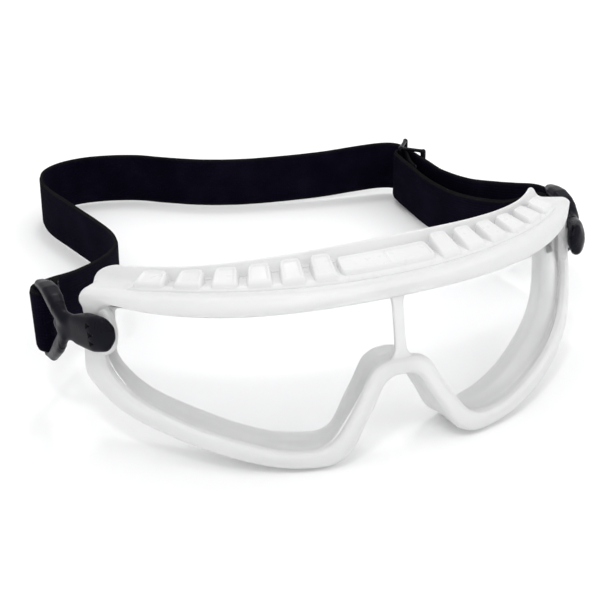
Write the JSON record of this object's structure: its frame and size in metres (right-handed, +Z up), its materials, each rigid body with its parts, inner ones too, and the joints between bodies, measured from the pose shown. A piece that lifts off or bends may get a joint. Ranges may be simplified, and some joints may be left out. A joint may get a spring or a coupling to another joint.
{
  "type": "safety goggles",
  "caption": "Wraparound safety goggles: soft clear moulding with hooded top vents, one-piece lens, swivel clips and an elastic headband with a slider.",
  "frame": {"origin": "on the table, under the middle of the whole goggles with the headband laid out behind them", "axes": "+Z up from the table, the lens looks towards -Y and the headband lies towards +Y, +X is the side of the adjusting slider"},
  "size_m": [0.1948, 0.2208, 0.0629],
  "materials": {
    "frosted_moulding": "milky clear soft plastic, satin",
    "frosted_vent": "milky clear plastic, satin",
    "clear_lens": "clear polished polycarbonate",
    "stud_plastic": "natural nylon",
    "black_plastic": "black satin moulded plastic",
    "elastic_webbing": "near-black knitted elastic",
    "thread": "black sewing thread"
  },
  "bodies": {
    "goggle_frame": {"frame_shell": "frosted_moulding", "vent_cover": "frosted_vent", "lens": "clear_lens", "left_pivot_stud": "stud_plastic", "right_pivot_stud": "stud_plastic"},
    "left_clip": {"left_swivel_clip": "black_plastic"},
    "right_clip": {"right_swivel_clip": "black_plastic"},
    "headband": {"headband_strap": "elastic_webbing", "headband_left_end": "elastic_webbing", "headband_return": "elastic_webbing", "left_end_stitches": "thread", "return_end_stitches": "thread"},
    "slider": {"adjusting_slider": "black_plastic"}
  },
  "joints": [
    {"name": "headband_swing", "type": "hinge", "parent": "goggle_frame", "child": "headband", "pos_m": [0, -0.06486, 0.03839], "axis": [1, 0, 0], "range_deg": [-5, 30]},
    {"name": "left_clip_swivel", "type": "hinge", "parent": "goggle_frame", "child": "left_clip", "pos_m": [0, -0.06486, 0.03839], "axis": [1, 0, 0], "range_deg": [-5, 30]},
    {"name": "right_clip_swivel", "type": "hinge", "parent": "goggle_frame", "child": "right_clip", "pos_m": [0, -0.06486, 0.03839], "axis": [1, 0, 0], "range_deg": [-5, 30]},
    {"name": "slider_travel", "type": "slide", "parent": "headband", "child": "slider", "axis": [0.1094, -0.994, 0], "range_m": [0, 0.012], "deforming": ["headband_return", "return_end_stitches"]}
  ],
  "couplings": [
    {"joint": "left_clip_swivel", "follows": "headband_swing", "ratio": 1},
    {"joint": "right_clip_swivel", "follows": "headband_swing", "ratio": 1}
  ]
}
